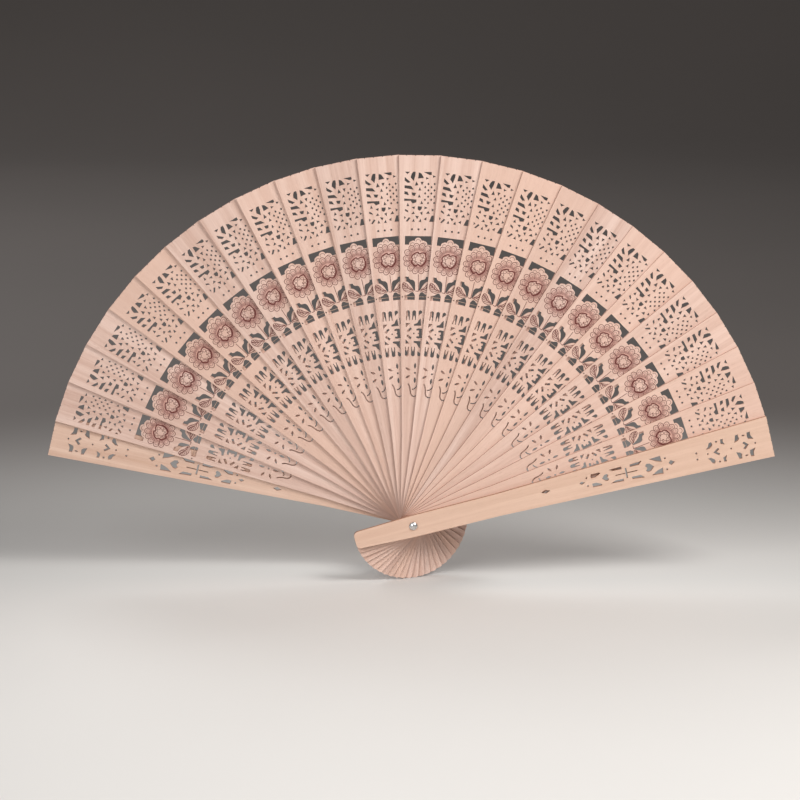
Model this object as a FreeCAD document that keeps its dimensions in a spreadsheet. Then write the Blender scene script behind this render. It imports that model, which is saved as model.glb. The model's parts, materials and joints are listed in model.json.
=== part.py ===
"""Brise hand fan: two guards and 23 pierced blades on one rivet, held at their spread by a thread.

The fan stands open in the XZ plane. X is to the right, Z is up and the front faces -Y.
The origin is on the rivet's axis, halfway through the stack of sticks.
A stick's own frame has X across it and Z along it, with the rivet at its origin and its back at Y = 0.
All lengths are in millimetres.
"""

import FreeCAD, Part
import math
import os

import Sketcher

Vector = FreeCAD.Vector

BLADE_COUNT = 23
STICK_STEPS = BLADE_COUNT + 1

DIMENSIONS = {
    "tip_radius": 176.4,
    "tail_length": 28.6,
    "tail_width": 8.1,
    "pivot_width": 10.5,
    "shoulder_width": 10.9,
    "shoulder_height": 42.0,
    "tip_width": 20.1,
    "tail_round": 1.3,
    "guard_tail_round": 2.2,
    "guard_thick": 1.8,
    "blade_thick": 0.85,
    "stack_gap": 0.15,
    "front_angle": 13.5,
    "fan_spread": 152.7,
    "end_pitch": 5.6,
    "spread_bow": 1.2,
    "hole_radius": 1.5,
    "shank_radius": 1.45,
    "seat_radius": 2.45,
    "seat_depth": 0.1,
    "head_radius": 2.05,
    "head_height": 1.0,
    "washer_radius": 2.3,
    "washer_thick": 0.4,
    "cap_radius": 1.95,
    "cap_height": 0.9,
    "thread_height": 108.9,
    "thread_radius": 0.15,
    "thread_start": -6.9,
    "thread_length": 13.3,
    "thread_hole_radius": 0.35,
    "groove_depth": 0.36,
    "groove_width": 0.4,
    "groove_margin": 0.3,
}

NOTCH_COUNT = 4
NOTCH_PITCH = 4.3
NOTCH_WIDTH = 0.9
NOTCH_DEPTH = 0.35
CUT_TURN = -1.1
CUT_PIVOT = 100.7
REAR_CUT_SHIFT = -1.4

doc = FreeCAD.newDocument("hand_fan")
sheet = doc.addObject("Spreadsheet::Sheet", "sheet")


def fill_sheet():
    for row, (name, value) in enumerate(DIMENSIONS.items(), start=1):
        sheet.set(f"A{row}", name)
        sheet.set(f"B{row}", str(value))
        sheet.setAlias(f"B{row}", name)
    doc.recompute()


# ---------------------------------------------------------------- outlines of the cut-outs


def point(across, along):
    return Vector(across, along, 0)


def polygon(*corners):
    """A closed outline through the corners, as line segments."""
    ends = [point(*corner) for corner in corners]
    return [Part.LineSegment(a, b) for a, b in zip(ends, ends[1:] + ends[:1])]


def moved(corners, across, along, turn=0.0):
    """The corners turned anticlockwise by turn degrees and moved to (across, along)."""
    c = math.cos(math.radians(turn))
    s = math.sin(math.radians(turn))
    return [(across + x * c - z * s, along + x * s + z * c) for x, z in corners]


def mirrored(corners):
    """The corners mirrored in the stick's centre line."""
    return [(-x, z) for x, z in corners]


def both_sides(*corners):
    return [polygon(*corners), polygon(*mirrored(corners))]


def dot(across, along, radius=0.5):
    return [Part.Circle(point(across, along), Vector(0, 0, 1), radius)]


def diamond(across, along, half_width, half_height):
    corners = [(half_width, 0), (0, half_height), (-half_width, 0), (0, -half_height)]
    return polygon(*moved(corners, across, along))


def wedge(across, along, turn, size=1.0):
    """A small triangle that points up at turn 0."""
    corners = [(-0.7 * size, -0.65 * size), (0.7 * size, -0.65 * size), (0.1 * size, 0.95 * size)]
    return polygon(*moved(corners, across, along, turn))


def bar(across, along, length, width, turn, slant=0.0):
    """A straight bar, its two short ends slanted alike."""
    x = length / 2
    z = width / 2
    corners = [(-x - slant, -z), (x - slant, -z), (x + slant, z), (-x + slant, z)]
    return polygon(*moved(corners, across, along, turn))


def petal(across, along, length, width, turn):
    """A lens of two arcs, long at turn 0 along X."""
    a, b, top, bottom = moved(
        [(-length / 2, 0), (length / 2, 0), (0, width / 2), (0, -width / 2)], across, along, turn
    )
    return [
        Part.Arc(point(*a), point(*top), point(*b)),
        Part.Arc(point(*b), point(*bottom), point(*a)),
    ]


def stroke(points, width):
    """A ribbon of the given width that follows the points."""
    left = []
    right = []
    for i, (x, z) in enumerate(points):
        x0, z0 = points[max(i - 1, 0)]
        x1, z1 = points[min(i + 1, len(points) - 1)]
        run = math.hypot(x1 - x0, z1 - z0)
        nx = -(z1 - z0) / run * width / 2
        nz = (x1 - x0) / run * width / 2
        left.append((x + nx, z + nz))
        right.append((x - nx, z - nz))
    return polygon(*(left + right[::-1]))


def chain(start, *steps):
    """A closed outline of lines (one point a step) and arcs (a middle point and an end point)."""
    edges = []
    here = point(*start)
    for step in steps:
        there = point(*step[-1])
        if len(step) == 2:
            edges.append(Part.Arc(here, point(*step[0]), there))
        else:
            edges.append(Part.LineSegment(here, there))
        here = there
    edges.append(Part.LineSegment(here, point(*start)))
    return edges


# ---------------------------------------------------------------- the blade's fretwork, tip to tail


def tip_notches():
    """The small notches along the tip, which leave five shallow scallops."""
    tip = DIMENSIONS["tip_radius"]
    wires = []
    for i in range(NOTCH_COUNT):
        x = (i - (NOTCH_COUNT - 1) / 2) * NOTCH_PITCH
        half = NOTCH_WIDTH / 2
        wires.append(polygon((x - half, tip + 0.1), (x, tip - NOTCH_DEPTH), (x + half, tip + 0.1)))
    return wires


def leaf_and_lattice_panel():
    """The panel nearest the tip: leaves and veins on the left, a lattice of diamonds on the right."""
    pieces = [
        [(-7.0, 168.6), (-4.6, 168.6), (-5.9, 167.4)],
        [(-3.2, 168.6), (-2.0, 168.6), (-2.1, 166.8), (-2.8, 164.2), (-4.3, 165.9), (-3.9, 167.5)],
        [(-0.5, 168.4), (0.7, 167.9), (2.0, 165.7), (-0.8, 165.4)],
        [(1.7, 168.6), (5.6, 168.6), (5.6, 167.2), (4.6, 167.1)],
        [(-7.1, 166.1), (-4.3, 163.7), (-5.5, 163.2), (-7.1, 164.4)],
        [(-7.1, 162.2), (-4.0, 161.9), (-2.7, 160.1), (-7.1, 160.8)],
        [(-7.1, 159.4), (-5.6, 159.1), (-4.9, 157.4), (-7.1, 158.0)],
        [(-3.7, 158.9), (-1.5, 158.6), (-2.2, 157.1), (-3.4, 157.4)],
        [(-7.1, 155.9), (-1.3, 155.5), (-1.3, 154.1), (-3.1, 153.5), (-4.0, 154.8), (-7.1, 154.7)],
        [(-6.6, 151.0), (-5.2, 150.2), (-4.9, 149.2), (-6.6, 150.0)],
        [(-0.6, 152.3), (1.4, 152.2), (1.2, 150.9), (0.4, 150.1), (-0.6, 150.7)],
        [(-7.0, 147.6), (-6.1, 147.0), (-6.8, 146.0)],
        [(-6.2, 145.0), (-5.3, 144.9), (-3.9, 146.6), (-4.7, 147.1)],
        [(6.0, 147.9), (7.1, 147.9), (7.1, 144.9), (4.9, 144.9)],
    ]
    wires = [polygon(*corners) for corners in pieces]
    small_triangles = [
        (-1.5, 162.9, 8, 1.25),
        (1.2, 163.2, 180, 1.05),
        (3.6, 165.6, -85, 0.9),
        (6.8, 166.5, -85, 0.9),
        (0.1, 160.4, 5, 1.0),
        (-0.1, 157.1, 5, 1.0),
        (1.1, 154.0, 10, 1.0),
        (-5.4, 152.9, 5, 1.0),
        (-2.7, 151.6, 80, 1.0),
        (3.2, 151.6, -90, 1.0),
        (-2.8, 148.9, 120, 1.0),
        (1.3, 148.9, 200, 1.0),
        (4.2, 149.1, 120, 1.1),
        (6.3, 150.6, 30, 0.9),
        (-1.0, 147.2, 60, 1.1),
        (-2.5, 145.5, 0, 0.95),
        (0.7, 145.5, -10, 1.0),
        (3.2, 146.4, -25, 1.0),
    ]
    for across, along, turn, size in small_triangles:
        wires.append(wedge(across, along, turn, size))
    column_pitch = 1.47
    row_pitch = 3.0
    for column in range(4):
        rows = 4 if column % 2 else 3
        top = 162.9 if column % 2 else 161.4
        for row in range(rows):
            across = 2.7 + column * column_pitch
            wires.append(diamond(across, top - row * row_pitch, 0.55, 0.68))
    wires += [dot(x, 141.3, 0.52) for x in (-3.1, 0.0, 3.1)]
    return wires


def flower_panel():
    """The opening over the printed flower's top petals, and the openings round its stem and leaves."""
    over_petals = chain(
        (-6.3, 138.1),
        [(-6.3, 133.9)],
        [(-4.25, 133.9)],
        [(-4.0, 135.1), (-3.1, 135.6)],
        [(-2.3, 135.9), (-1.65, 135.7)],
        [(0.0, 137.3), (1.65, 135.7)],
        [(2.3, 135.9), (3.1, 135.6)],
        [(4.0, 135.1), (4.25, 133.9)],
        [(6.3, 133.9)],
        [(6.3, 138.1)],
    )
    beside_stem = both_sides(
        (-5.9, 118.7),
        (-4.1, 118.6),
        (-3.9, 117.8),
        (-3.2, 117.3),
        (-2.0, 117.1),
        (-1.4, 116.6),
        (-1.0, 115.7),
        (-0.85, 112.0),
        (-1.5, 112.0),
        (-2.5, 114.0),
        (-3.4, 115.2),
        (-4.3, 116.0),
        (-5.9, 116.5),
    )
    under_leaf = both_sides(
        (-5.8, 107.5),
        (-5.8, 109.6),
        (-3.9, 110.2),
        (-2.9, 111.1),
        (-2.2, 111.3),
        (-1.7, 111.1),
        (-0.95, 109.8),
        (-0.95, 107.5),
    )
    return [over_petals] + beside_stem + under_leaf


def arch(across, top, down=1):
    """An arched slot with a pointed tongue; down is 1 for a slot under its arch, -1 for one over it."""
    half = 0.88
    spring = top - down * half
    foot = top - down * 4.7
    return chain(
        (across - half, foot),
        [(across - half, spring)],
        [(across, top), (across + half, spring)],
        [(across + half, foot)],
        [(across + 0.52, foot)],
        [(across + 0.42, foot + down * 1.2)],
        [(across, foot + down * 2.4)],
        [(across - 0.42, foot + down * 1.2)],
        [(across - 0.52, foot)],
    )


def cut_arch(across, top, down=1):
    """An arched slot cut short along a slant."""
    half = 0.85
    spring = top - down * half
    return chain(
        (across - half, top - down * 2.6),
        [(across - half, spring)],
        [(across, top), (across + half, spring)],
        [(across + half * 0.9, spring - down * 0.5)],
    )


def rosette_band():
    """Two rows of arches with a square rosette of bars, wedges and brackets between them."""
    wires = []
    for top, down, shift in ((102.5, 1, 0.0), (80.2, -1, -0.15)):
        for across in (-4.0, -1.05, 4.85):
            wires.append(arch(across + shift, top, down))
        wires.append(cut_arch(1.9 + shift, top, down))
    middle = 91.35
    for side in (1, -1):
        for rise_pieces in (
            [(-4.9, 5.0), (-2.9, 4.9), (-4.9, 2.9)],
            [(-1.0, 4.5), (0.5, 5.0), (1.1, 6.2), (2.1, 7.3), (2.4, 3.7), (-1.0, 3.6)],
            [(3.1, 7.6), (3.5, 7.3), (3.5, 4.7), (3.1, 4.5)],
            [(6.1, 5.0), (4.6, 4.9), (6.1, 2.9)],
        ):
            corners = [(x, middle + side * z) for x, z in rise_pieces]
            wires.append(polygon(*corners))
        wires.append(bar(-3.2, middle + side * 1.7, 2.5, 1.0, side * 42))
        wires.append(bar(5.0, middle + side * 1.6, 1.8, 0.9, -side * 42))
    bracket = [
        (0.1, 2.1),
        (1.2, 2.5),
        (2.8, 2.3),
        (2.9, -2.3),
        (1.2, -2.5),
        (0.1, -2.1),
        (0.3, -1.3),
        (1.4, -1.4),
        (1.5, -0.5),
        (0.9, 0.0),
        (1.5, 0.5),
        (1.4, 1.4),
        (0.3, 1.3),
    ]
    wires.append(polygon(*moved(bracket, 0.0, middle)))
    wires.append(dot(-1.0, middle, 0.38))
    return wires


def small_flower():
    """A six-petalled flower of slots on a hooked stem."""
    heart = 72.2
    wires = [dot(0.0, heart, 0.48)]
    for turn in (90, 270):
        reach = 3.45 if turn == 90 else -3.55
        wires.append(petal(0.0, heart + reach, 3.0, 1.05, 90))
    for side in (1, -1):
        wires.append(petal(-3.4 * side, heart + 1.9, 2.5, 1.05, -30 * side))
        wires.append(petal(-3.4 * side, heart - 1.9, 2.6, 1.05, 35 * side))
    hook = [(-3.2, 67.0), (-2.5, 65.9), (-2.1, 64.2), (-1.9, 62.4), (-1.3, 61.2), (-0.3, 60.7)]
    hook += [(0.8, 61.0), (1.4, 62.0), (1.4, 63.2)]
    wires.append(stroke(hook, 0.6))
    wires.append(stroke([(-1.2, 64.2), (-0.2, 64.4), (0.7, 65.2), (1.5, 66.6)], 0.6))
    return wires


def blade_fretwork():
    return (
        tip_notches()
        + leaf_and_lattice_panel()
        + flower_panel()
        + rosette_band()
        + small_flower()
    )


# ---------------------------------------------------------------- the guard's fretwork


def outer_motif():
    """Four beans round an arrow that points to the tip."""
    wires = both_sides(
        (6.1, 167.1), (6.0, 165.4), (4.0, 165.2), (2.8, 165.5), (2.2, 168.2), (3.8, 167.2), (5.0, 167.0)
    )
    wires += both_sides(
        (6.1, 161.1), (5.9, 159.7), (4.3, 159.3), (2.4, 158.7), (2.9, 160.5), (3.8, 161.4), (5.0, 161.1)
    )
    arrow = [(0.0, 165.4), (-2.0, 163.3), (-1.3, 162.4), (0.0, 163.8), (1.3, 162.4), (2.0, 163.3)]
    wires.append(polygon(*arrow))
    wires += [diamond(x, 163.5, 0.45, 0.95) for x in (-5.0, 5.0)]
    wires.append(dot(0.0, 168.6, 0.45))
    return wires


def inner_motif():
    """Four smaller beans round an arrow that points to the rivet."""
    wires = both_sides((5.7, 153.6), (5.6, 152.3), (3.5, 152.1), (2.6, 154.1), (4.3, 153.4))
    wires += both_sides(
        (5.4, 147.8), (5.1, 146.6), (3.3, 145.8), (2.3, 144.7), (2.2, 146.3), (3.3, 147.9), (4.3, 148.2)
    )
    arrow = [(0.0, 147.9), (1.9, 150.4), (1.1, 151.1), (0.0, 149.5), (-1.1, 151.1), (-1.9, 150.4)]
    wires.append(polygon(*arrow))
    wires += [dot(x, 150.2, 0.5) for x in (-5.0, 5.0)]
    wires.append(dot(0.0, 145.2, 0.42))
    return wires


def heart(along, way, size=1.0):
    """A heart whose point is towards the tip at way 1."""
    corners = [(0, -1.0), (1.2, -1.9), (2.2, -1.0), (1.9, 0.5), (0, 2.3)]
    corners += [(-1.9, 0.5), (-2.2, -1.0), (-1.2, -1.9)]
    return polygon(*[(size * x, along + way * size * z) for x, z in corners])


def long_cross(along, arm, half_span, half_line, half_beam):
    """A thin cross, its long arm along the stick."""
    right = [(half_line, arm), (half_line, half_beam), (half_span, half_beam)]
    right += [(x, -z) for x, z in reversed(right)]
    corners = right + [(-x, z) for x, z in reversed(right)]
    return polygon(*[(x, along + z) for x, z in corners])


def guard_long_panel():
    """The long middle panel: two hearts face each other across a thin cross."""
    wires = [
        polygon((0.0, 129.0), (1.3, 127.1), (0.0, 125.8), (-1.3, 127.1)),
        heart(116.4, 1),
        long_cross(105.1, 5.4, 2.55, 0.22, 0.4),
        heart(94.9, -1, 0.8),
        polygon((0.0, 84.7), (0.8, 83.2), (0.0, 81.9), (-0.8, 83.2)),
    ]
    wires += [dot(x, 124.6, 0.48) for x in (-2.8, 2.8)]
    wires += [dot(x, 85.8, 0.45) for x in (-2.0, 2.0)]
    wires += both_sides((4.5, 122.5), (1.4, 122.8), (2.25, 120.1), (4.1, 116.9))
    wires += both_sides((4.2, 113.5), (2.5, 111.6), (2.5, 107.2), (3.7, 107.4))
    wires += both_sides((3.7, 103.2), (2.4, 103.2), (2.4, 99.3), (3.4, 96.8))
    wires += both_sides((3.3, 92.4), (2.6, 92.7), (1.35, 90.1), (1.35, 87.9), (3.3, 88.1))
    return wires


def askew(wires, shift):
    """The guards' fretwork is cut a little askew and off centre."""
    turn = FreeCAD.Placement(Vector(0, CUT_PIVOT, 0), FreeCAD.Rotation(Vector(0, 0, 1), CUT_TURN))
    for edge in [edge for wire in wires for edge in wire]:
        edge.rotate(turn)
        edge.translate(Vector(shift, 0, 0))
    return wires


def guard_fretwork(shift):
    wires = outer_motif()
    wires.append(dot(0.0, 156.7, 0.42))
    wires += inner_motif()
    wires += [dot(x, 139.8, 0.5) for x in (-1.55, 1.55)]
    wires += guard_long_panel()
    wires.append(diamond(0.0, 65.4, 0.95, 2.2))
    return tip_notches() + askew(wires, shift)


# ---------------------------------------------------------------- features


def new_body(label):
    body = doc.addObject("PartDesign::Body", label)
    body.Label = label
    return body


def new_sketch(body, label, plane_role):
    sketch = body.newObject("Sketcher::SketchObject", label)
    plane = next(f for f in body.Origin.OriginFeatures if f.Role == plane_role)
    sketch.AttachmentSupport = [(plane, "")]
    sketch.MapMode = "FlatFace"
    return sketch


def bind_corner(sketch, edge, name, across, along):
    """Ties the start of an edge to its place in the sheet."""
    start = sketch.Geometry[edge].StartPoint
    index = sketch.addConstraint(Sketcher.Constraint("DistanceX", edge, 1, start.x))
    sketch.renameConstraint(index, f"{name}_x")
    sketch.setExpression(f".Constraints.{name}_x", across)
    if along is None:
        sketch.addConstraint(Sketcher.Constraint("PointOnObject", edge, 1, -1))
        return
    index = sketch.addConstraint(Sketcher.Constraint("DistanceY", edge, 1, start.y))
    sketch.renameConstraint(index, f"{name}_z")
    sketch.setExpression(f".Constraints.{name}_z", along)


def stick_outline(body):
    """The long outline that blades and guards share: a narrow tail, a waist and a flared tip."""
    d = DIMENSIONS
    right = [
        ("tail", d["tail_width"], -d["tail_length"], "tail_width", "-sheet.tail_length"),
        ("pivot", d["pivot_width"], 0.0, "pivot_width", None),
        ("shoulder", d["shoulder_width"], d["shoulder_height"], "shoulder_width", "sheet.shoulder_height"),
        ("tip", d["tip_width"], d["tip_radius"], "tip_width", "sheet.tip_radius"),
    ]
    corners = []
    for name, width, along, cell, along_cell in right:
        corners.append((f"{name}_right", width / 2, along, f"sheet.{cell} / 2", along_cell))
    for name, width, along, cell, along_cell in reversed(right):
        corners.append((f"{name}_left", -width / 2, along, f"-sheet.{cell} / 2", along_cell))
    sketch = new_sketch(body, f"{body.Label}_outline", "XZ_Plane")
    sketch.addGeometry(polygon(*[(x, z) for _, x, z, _, _ in corners]), False)
    count = len(corners)
    for edge in range(count):
        sketch.addConstraint(Sketcher.Constraint("Coincident", edge, 2, (edge + 1) % count, 1))
    for edge, (name, _, _, across, along) in enumerate(corners):
        bind_corner(sketch, edge, name, across, along)
    return sketch


def pad_forward(body, sketch, thickness):
    """Pads towards the front, from the back face at Y = 0."""
    pad = body.newObject("PartDesign::Pad", f"{body.Label}_pad")
    pad.Profile = sketch
    pad.setExpression("Length", thickness)
    doc.recompute()
    return pad


def pocket_through(body, sketch, label):
    """Cuts a sketch through the stick, towards the front."""
    before = body.Shape.Volume
    pocket = body.newObject("PartDesign::Pocket", label)
    pocket.Profile = sketch
    pocket.Type = "ThroughAll"
    pocket.Reversed = True
    doc.recompute()
    if body.Shape.Volume > before - 0.1:
        raise RuntimeError(f"{label} cuts nothing")
    return pocket


def round_hole(body, label, radius_cell, across_cell=None, along_cell=None):
    """A round hole through the stick, at the rivet's axis or where the sheet says."""
    sketch = new_sketch(body, f"{label}_circle", "XZ_Plane")
    across = sheet.get(across_cell) if across_cell else 0.0
    along = sheet.get(along_cell) if along_cell else 0.0
    radius = sheet.get(radius_cell)
    sketch.addGeometry(Part.Circle(point(across, along), Vector(0, 0, 1), radius), False)
    index = sketch.addConstraint(Sketcher.Constraint("Radius", 0, radius))
    sketch.renameConstraint(index, "radius")
    sketch.setExpression(".Constraints.radius", f"sheet.{radius_cell}")
    if across_cell:
        index = sketch.addConstraint(Sketcher.Constraint("DistanceX", 0, 3, across))
        sketch.renameConstraint(index, "across")
        sketch.setExpression(".Constraints.across", f"sheet.{across_cell}")
        index = sketch.addConstraint(Sketcher.Constraint("DistanceY", 0, 3, along))
        sketch.renameConstraint(index, "along")
        sketch.setExpression(".Constraints.along", f"sheet.{along_cell}")
    else:
        sketch.addConstraint(Sketcher.Constraint("Coincident", 0, 3, -1, 1))
    return pocket_through(body, sketch, label)


def round_tail(body, pad, radius):
    """Rounds the two corners of the tail end."""
    low = -DIMENSIONS["tail_length"] + 0.01
    names = []
    for number, edge in enumerate(pad.Shape.Edges, start=1):
        box = edge.BoundBox
        if box.ZMax < low and box.XLength < 0.01:
            names.append(f"Edge{number}")
    fillet = body.newObject("PartDesign::Fillet", f"{body.Label}_tail_round")
    fillet.Base = (pad, names)
    fillet.setExpression("Radius", radius)
    doc.recompute()
    return fillet


def stick(label, thickness, tail_round, wires):
    """One stick at the origin, upright: outline, rounded tail, rivet hole and fretwork."""
    body = new_body(label)
    pad = pad_forward(body, stick_outline(body), thickness)
    round_tail(body, pad, tail_round)
    round_hole(body, f"{label}_rivet_hole", "hole_radius")
    fret = new_sketch(body, f"{label}_fret_outlines", "XZ_Plane")
    fret.addGeometry([edge for wire in wires for edge in wire], False)
    pocket_through(body, fret, f"{label}_fret")
    return body


def subtract_checked(body, label):
    before = body.Shape.Volume
    doc.recompute()
    if body.Shape.Volume > before - 0.1:
        raise RuntimeError(f"{label} cuts nothing")


def cut_rivet_seats(body):
    """A shallow round seat in each face of a guard, so that the rivet's ends don't stand on the face."""
    for label, base in (("back_seat", "0"), ("front_seat", "sheet.seat_depth - sheet.guard_thick")):
        seat = body.newObject("PartDesign::SubtractiveCylinder", label)
        seat.Placement = FreeCAD.Placement(Vector(0, 0, 0), FreeCAD.Rotation(Vector(1, 0, 0), 90))
        seat.setExpression("Radius", "sheet.seat_radius")
        seat.setExpression("Height", "sheet.seat_depth")
        seat.setExpression("Placement.Base.y", base)
        subtract_checked(body, label)


def cut_thread_way(body):
    """The groove in the blade's back for the thread, and the hole at its start."""
    round_hole(body, "thread_hole", "thread_hole_radius", "thread_start", "thread_height")
    groove = body.newObject("PartDesign::SubtractiveBox", "thread_groove")
    groove.setExpression("Length", "sheet.thread_length + 2 * sheet.groove_margin")
    groove.setExpression("Width", "sheet.groove_depth")
    groove.setExpression("Height", "sheet.groove_width")
    groove.setExpression("Placement.Base.x", "sheet.thread_start - sheet.groove_margin")
    groove.setExpression("Placement.Base.y", "-sheet.groove_depth")
    groove.setExpression("Placement.Base.z", "sheet.thread_height - sheet.groove_width / 2")
    subtract_checked(body, "thread_groove")


def thread_pattern():
    """The thread that one blade holds: straight along its groove, then forward through its hole."""
    body = new_body("thread_pattern")
    runs = (
        ("thread_run", Vector(0, 1, 0), "sheet.thread_length"),
        ("thread_turn", Vector(1, 0, 0), "sheet.blade_thick - sheet.groove_depth"),
    )
    for label, axis, length in runs:
        run = body.newObject("PartDesign::AdditiveCylinder", label)
        run.Placement = FreeCAD.Placement(Vector(0, 0, 0), FreeCAD.Rotation(axis, 90))
        run.setExpression("Radius", "sheet.thread_radius")
        run.setExpression("Height", length)
        run.setExpression("Placement.Base.x", "sheet.thread_start")
        run.setExpression("Placement.Base.y", "-sheet.groove_depth / 2")
        run.setExpression("Placement.Base.z", "sheet.thread_height")
        doc.recompute()
    return body


# ---------------------------------------------------------------- the fan's sub-parts

BLADES_THICK = f"{BLADE_COUNT} * sheet.blade_thick"
GAPS_THICK = f"{STICK_STEPS} * sheet.stack_gap"
STACK_HALF = f"(2 * sheet.guard_thick + {BLADES_THICK} + {GAPS_THICK}) / 2"


def back_of_layer(layer):
    """The Y of a stick's back face, layer 0 being the front guard and layer 24 the rear guard."""
    if layer == 0:
        return f"sheet.guard_thick - {STACK_HALF}"
    if layer == STICK_STEPS:
        return STACK_HALF
    return (
        f"sheet.guard_thick - {STACK_HALF} + {layer} * (sheet.blade_thick + sheet.stack_gap)"
    )


def turn_of_layer(layer):
    """The angle from the front guard to a stick: the end gaps are small, the rest grow to the rear."""
    if layer == 0:
        return "0"
    if layer == STICK_STEPS:
        return "sheet.fan_spread"
    share = f"{layer - 1} / {BLADE_COUNT - 1}"
    even = f"sheet.end_pitch + {share} * (sheet.fan_spread - 2 * sheet.end_pitch)"
    return f"{even} - sheet.spread_bow * sin(180 * {share})"


def place_in_fan(part, layer):
    """Turns a part of a stick about the rivet to its place in the open fan."""
    part.Placement = FreeCAD.Placement(Vector(0, 0, 0), FreeCAD.Rotation(Vector(0, 1, 0), 45))
    lean = f"90 - sheet.front_angle - ({turn_of_layer(layer)})"
    part.setExpression("Placement.Rotation.Angle", f"({lean}) * 1 deg")
    part.setExpression("Placement.Base.y", back_of_layer(layer))


def guard(label, layer, cut_shift):
    fretwork = guard_fretwork(cut_shift)
    body = stick(label, "sheet.guard_thick", "sheet.guard_tail_round", fretwork)
    cut_rivet_seats(body)
    place_in_fan(body, layer)
    return body


def clone_of(pattern, label, layer):
    """A stick of its own, cut like the pattern."""
    body = new_body(label)
    feature = doc.addObject("PartDesign::FeatureBase", f"{label}_shape")
    feature.BaseFeature = pattern
    body.Group = [feature]
    body.Tip = feature
    place_in_fan(body, layer)
    return body


def rod(label, radius, start, end):
    """A cylinder on the rivet's axis between two Y places."""
    cylinder = doc.addObject("Part::Cylinder", label)
    cylinder.Placement = FreeCAD.Placement(Vector(0, 0, 0), FreeCAD.Rotation(Vector(1, 0, 0), -90))
    cylinder.setExpression("Radius", radius)
    cylinder.setExpression("Height", f"({end}) - ({start})")
    cylinder.setExpression("Placement.Base.y", start)
    return cylinder


def dome(label, size, base, way):
    """A low spherical cap on a flat base; way is the Y direction in which it rises."""
    radius = f"sheet.{size}_radius"
    height = f"sheet.{size}_height"
    ball_radius = f"({radius} ^ 2 + {height} ^ 2) / (2 * {height})"
    ball = doc.addObject("Part::Sphere", f"{label}_ball")
    ball.setExpression("Radius", ball_radius)
    ball.setExpression("Placement.Base.y", f"{base} + {way} * ({height} - {ball_radius})")
    ends = (base, f"{base} + {way} * 2 * {height}")
    low, high = ends if way > 0 else ends[::-1]
    limit = rod(f"{label}_limit", f"{radius} * 1.2", low, high)
    cap = doc.addObject("Part::Common", label)
    cap.Base = ball
    cap.Tool = limit
    return cap


def build_rivet():
    """The pin with its domed head at the front, and the washer and domed cap at the rear."""
    front = f"(sheet.seat_depth - {STACK_HALF})"
    rear = f"({STACK_HALF} - sheet.seat_depth)"
    washer_back = f"({rear} + sheet.washer_thick)"
    pin = doc.addObject("Part::Fuse", "rivet_pin")
    pin.Base = rod("rivet_shank", "sheet.shank_radius", front, washer_back)
    pin.Tool = dome("rivet_head", "head", front, -1)
    washer = doc.addObject("Part::Cut", "rear_washer")
    washer.Base = rod("washer_disc", "sheet.washer_radius", rear, washer_back)
    washer.Tool = rod("washer_bore", "sheet.hole_radius", rear, washer_back)
    cap = dome("rear_cap", "cap", washer_back, 1)
    return [pin, washer, cap]


fill_sheet()
blades = stick("blade_pattern", "sheet.blade_thick", "sheet.tail_round", blade_fretwork())
cut_thread_way(blades)
threads = thread_pattern()

sub_parts = [guard("front_guard", 0, 0.0), guard("rear_guard", STICK_STEPS, REAR_CUT_SHIFT)]
for number in range(1, BLADE_COUNT + 1):
    layer = STICK_STEPS - number
    sub_parts.append(clone_of(blades, f"blade_{number:02d}", layer))
    sub_parts.append(clone_of(threads, f"thread_{number:02d}", layer))
sub_parts += build_rivet()
doc.recompute()


def check_document():
    for item in doc.Objects:
        if "Invalid" in item.State or "Error" in item.State:
            raise RuntimeError(f"{item.Label} failed: {item.State}")
    for part in sub_parts:
        if part.Shape.isNull() or not part.Shape.isValid():
            raise RuntimeError(f"{part.Label} has a bad shape")


check_document()
os.makedirs("parts", exist_ok=True)
for part in sub_parts:
    part.Shape.exportStep(f"parts/{part.Label}.step")
print(len(sub_parts), "sub-parts written")
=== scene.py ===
import json
import math
import random

import bmesh
import bpy
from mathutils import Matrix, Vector
from mathutils.bvhtree import BVHTree


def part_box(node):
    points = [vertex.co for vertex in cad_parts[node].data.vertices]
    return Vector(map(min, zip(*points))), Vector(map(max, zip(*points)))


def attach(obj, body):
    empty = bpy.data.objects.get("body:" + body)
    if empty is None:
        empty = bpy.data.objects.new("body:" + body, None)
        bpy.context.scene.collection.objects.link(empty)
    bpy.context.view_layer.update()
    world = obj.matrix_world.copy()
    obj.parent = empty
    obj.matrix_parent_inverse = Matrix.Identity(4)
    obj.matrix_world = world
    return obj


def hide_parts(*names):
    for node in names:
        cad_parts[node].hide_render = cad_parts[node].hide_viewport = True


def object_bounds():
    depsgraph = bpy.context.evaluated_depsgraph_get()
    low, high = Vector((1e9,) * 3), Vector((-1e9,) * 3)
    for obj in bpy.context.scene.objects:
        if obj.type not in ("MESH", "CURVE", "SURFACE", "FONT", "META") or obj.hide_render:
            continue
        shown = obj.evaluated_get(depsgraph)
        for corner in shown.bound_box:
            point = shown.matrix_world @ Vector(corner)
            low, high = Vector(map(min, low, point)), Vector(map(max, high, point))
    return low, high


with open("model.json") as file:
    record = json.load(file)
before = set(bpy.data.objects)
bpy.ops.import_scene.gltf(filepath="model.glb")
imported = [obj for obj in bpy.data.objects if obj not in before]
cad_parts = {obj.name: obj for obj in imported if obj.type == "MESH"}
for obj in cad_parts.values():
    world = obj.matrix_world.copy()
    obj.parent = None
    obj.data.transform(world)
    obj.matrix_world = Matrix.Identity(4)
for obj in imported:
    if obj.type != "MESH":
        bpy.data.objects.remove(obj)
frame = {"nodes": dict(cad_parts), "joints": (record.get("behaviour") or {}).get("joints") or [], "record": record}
cad_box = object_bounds()

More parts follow.
